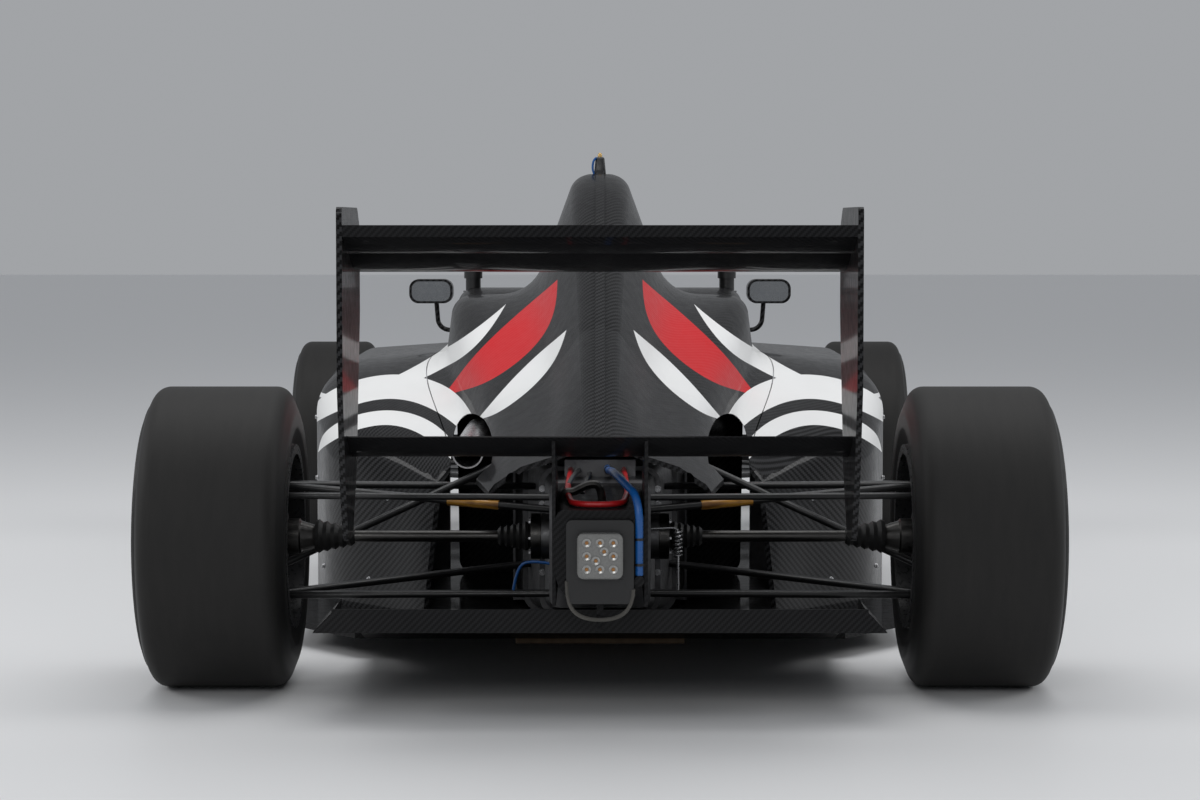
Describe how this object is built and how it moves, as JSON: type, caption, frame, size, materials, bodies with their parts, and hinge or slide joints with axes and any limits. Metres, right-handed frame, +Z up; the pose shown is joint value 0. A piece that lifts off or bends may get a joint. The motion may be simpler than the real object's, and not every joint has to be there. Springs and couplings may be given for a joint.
{
  "type": "open wheel racing car",
  "caption": "Low open-wheel racing car with slick tyres, front and rear wings, carbon fibre bodywork, an open cockpit and front wheels that steer.",
  "frame": {"origin": "on the ground, under the middle of the car's length and width", "axes": "+X forward, +Y to the driver's left, +Z up"},
  "size_m": [4.35, 1.73, 1.052],
  "materials": {
    "carbon": "clear",
    "satin_black": "matte",
    "hose_red": "gloss",
    "hose_blue": "gloss",
    "plank_board": "matte",
    "cast_alloy": "matte",
    "rim_paint": "gloss",
    "tyre_rubber": "matte",
    "steel": "brushed",
    "core_alloy": "matte",
    "grip": "matte",
    "padding": "matte",
    "clear_screen": "clear",
    "light_lens": "clear",
    "mirror_face": "mirror"
  },
  "bodies": {
    "chassis": {"antenna": "satin_black", "beam_wing": "carbon", "couplings": "satin_black", "crash_structure": "carbon", "diffuser": "carbon", "engine": "cast_alloy", "engine_cover": "carbon", "exhaust": "steel", "floor": "carbon", "front_endplates": "carbon", "front_flaps": "carbon", "front_wing": "carbon", "gearbox": "cast_alloy", "headrest": "padding", "hose_blue": "hose_blue", "hose_red": "hose_red", "light_bracket": "satin_black", "mirror_glass": "mirror_face", "mirrors": "carbon", "monocoque": "carbon", "nose_cone": "carbon", "nose_pillars": "carbon", "plank": "plank_board", "radiators": "core_alloy", "rain_light": "light_lens", "rear_dampers": "steel", "rear_endplates": "carbon", "rear_links": "satin_black", "rear_wing": "carbon", "roll_hoop": "carbon", "seat": "carbon", "sidepods": "carbon", "uprights_rear": "cast_alloy", "windscreen": "clear_screen", "wing_plates": "carbon", "wishbones_front": "satin_black", "wishbones_rear": "satin_black"},
    "knuckle_left": {"upright_front_left": "cast_alloy"},
    "knuckle_right": {"upright_front_right": "cast_alloy"},
    "wheel_front_left": {"tyre_front_left": "tyre_rubber", "rim_front_left": "rim_paint", "hub_front_left": "steel"},
    "wheel_front_right": {"tyre_front_right": "tyre_rubber", "rim_front_right": "rim_paint", "hub_front_right": "steel"},
    "wheel_rear_left": {"tyre_rear_left": "tyre_rubber", "rim_rear_left": "rim_paint", "driveshaft_rear_left": "steel"},
    "wheel_rear_right": {"tyre_rear_right": "tyre_rubber", "rim_rear_right": "rim_paint", "driveshaft_rear_right": "steel"},
    "rack": {"steering_rack": "steel"},
    "steering": {"steering_wheel": "grip"}
  },
  "joints": [
    {"name": "steer_left", "type": "hinge", "parent": "chassis", "child": "knuckle_left", "pos_m": [1.125, 0.69, 0.272], "axis": [0, 0, 1], "range_deg": [-16, 16]},
    {"name": "steer_right", "type": "hinge", "parent": "chassis", "child": "knuckle_right", "pos_m": [1.125, -0.69, 0.272], "axis": [0, 0, 1], "range_deg": [-16, 16]},
    {"name": "rack_slide", "type": "slide", "parent": "chassis", "child": "rack", "axis": [0, 1, 0], "range_m": [-0.0294, 0.0294]},
    {"name": "steering_turn", "type": "hinge", "parent": "chassis", "child": "steering", "pos_m": [0.435, 0, 0.552], "axis": [-0.9781, 0, 0.2079], "range_deg": [-160, 160]},
    {"name": "roll_front_left", "type": "hinge", "parent": "knuckle_left", "child": "wheel_front_left", "pos_m": [1.125, 0.751, 0.272], "axis": [0, 1, 0], "continuous": true},
    {"name": "roll_front_right", "type": "hinge", "parent": "knuckle_right", "child": "wheel_front_right", "pos_m": [1.125, -0.751, 0.272], "axis": [0, 1, 0], "continuous": true},
    {"name": "roll_rear_left", "type": "hinge", "parent": "chassis", "child": "wheel_rear_left", "pos_m": [-1.605, 0.72, 0.287], "axis": [0, 1, 0], "continuous": true},
    {"name": "roll_rear_right", "type": "hinge", "parent": "chassis", "child": "wheel_rear_right", "pos_m": [-1.605, -0.72, 0.287], "axis": [0, 1, 0], "continuous": true}
  ],
  "couplings": [
    {"joint": "steer_right", "follows": "steer_left", "ratio": 1},
    {"joint": "rack_slide", "follows": "steer_left", "m_per_rad": 0.105},
    {"joint": "steering_turn", "follows": "steer_left", "ratio": 10}
  ]
}
